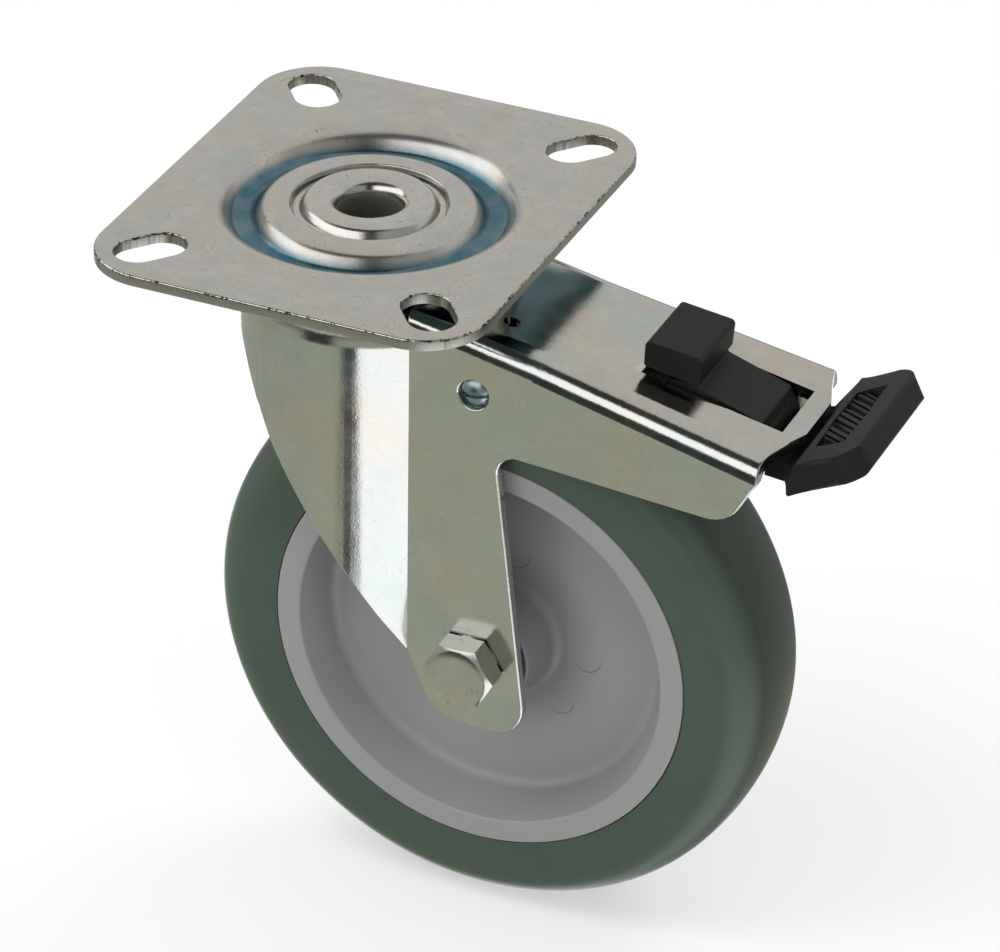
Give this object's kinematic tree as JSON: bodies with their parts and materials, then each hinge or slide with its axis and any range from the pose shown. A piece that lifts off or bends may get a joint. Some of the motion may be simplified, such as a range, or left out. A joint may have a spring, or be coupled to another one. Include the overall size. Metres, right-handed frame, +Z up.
{
  "type": "braked swivel castor",
  "caption": "Swivel castor with a slotted top plate, folded steel fork, soft-tyred plastic wheel and a foot pedal that locks wheel and swivel.",
  "frame": {"origin": "swivel axis at the top face of the mounting plate", "axes": "+Z up along the swivel axis towards the load, +X towards the wheel's trailing side and the foot pedal, +Y along the wheel axle to the left side"},
  "size_m": [0.1581, 0.1, 0.155],
  "materials": {
    "zinc_plate": "bright zinc plated steel",
    "zinc_fork": "bright zinc plated steel, faint yellow tint",
    "zinc_bolt": "bright zinc plated steel",
    "hard_steel": "greased hardened steel",
    "ball_steel": "polished bearing steel",
    "grey_plastic": "satin moulded polypropylene",
    "tyre_rubber": "satin grey-green thermoplastic rubber",
    "black_plastic": "fine textured black nylon",
    "shoe_rubber": "matt black rubber"
  },
  "bodies": {
    "plate": {"top_plate": "zinc_plate", "kingpin": "zinc_plate", "lower_race": "hard_steel", "lock_disc": "hard_steel"},
    "fork": {"fork_housing": "zinc_fork", "upper_race": "hard_steel", "upper_balls": "ball_steel", "lower_balls": "ball_steel", "axle_bolt": "zinc_bolt", "axle_washer": "zinc_bolt", "axle_nut": "zinc_bolt", "axle_sleeve": "hard_steel", "pedal_lug_left": "zinc_fork", "pedal_lug_right": "zinc_fork", "pedal_pin": "zinc_bolt", "lever_rivet_left": "zinc_bolt", "lever_rivet_right": "zinc_bolt"},
    "wheel": {"wheel_centre": "grey_plastic", "tyre": "tyre_rubber", "hub_rollers": "ball_steel", "hub_bush_left": "black_plastic", "hub_bush_right": "black_plastic"},
    "pedal": {"foot_pedal": "black_plastic"},
    "lever": {"brake_lever": "zinc_fork", "brake_shoe": "shoe_rubber"}
  },
  "joints": [
    {"name": "swivel", "type": "hinge", "parent": "plate", "child": "fork", "pos_m": [0, 0, 0], "axis": [0, 0, 1], "continuous": true},
    {"name": "wheel_spin", "type": "hinge", "parent": "fork", "child": "wheel", "pos_m": [0.032, 0, -0.0925], "axis": [0, 1, 0], "continuous": true},
    {"name": "pedal_tilt", "type": "hinge", "parent": "fork", "child": "pedal", "pos_m": [0.087, 0, -0.0315], "axis": [0, 1, 0], "range_deg": [0, 20]},
    {"name": "lever_tilt", "type": "hinge", "parent": "fork", "child": "lever", "pos_m": [0.0323, 0, -0.028], "axis": [0, 1, 0], "range_deg": [0, 6]}
  ],
  "couplings": [
    {"joint": "lever_tilt", "follows": "pedal_tilt", "ratio": 0.3}
  ]
}
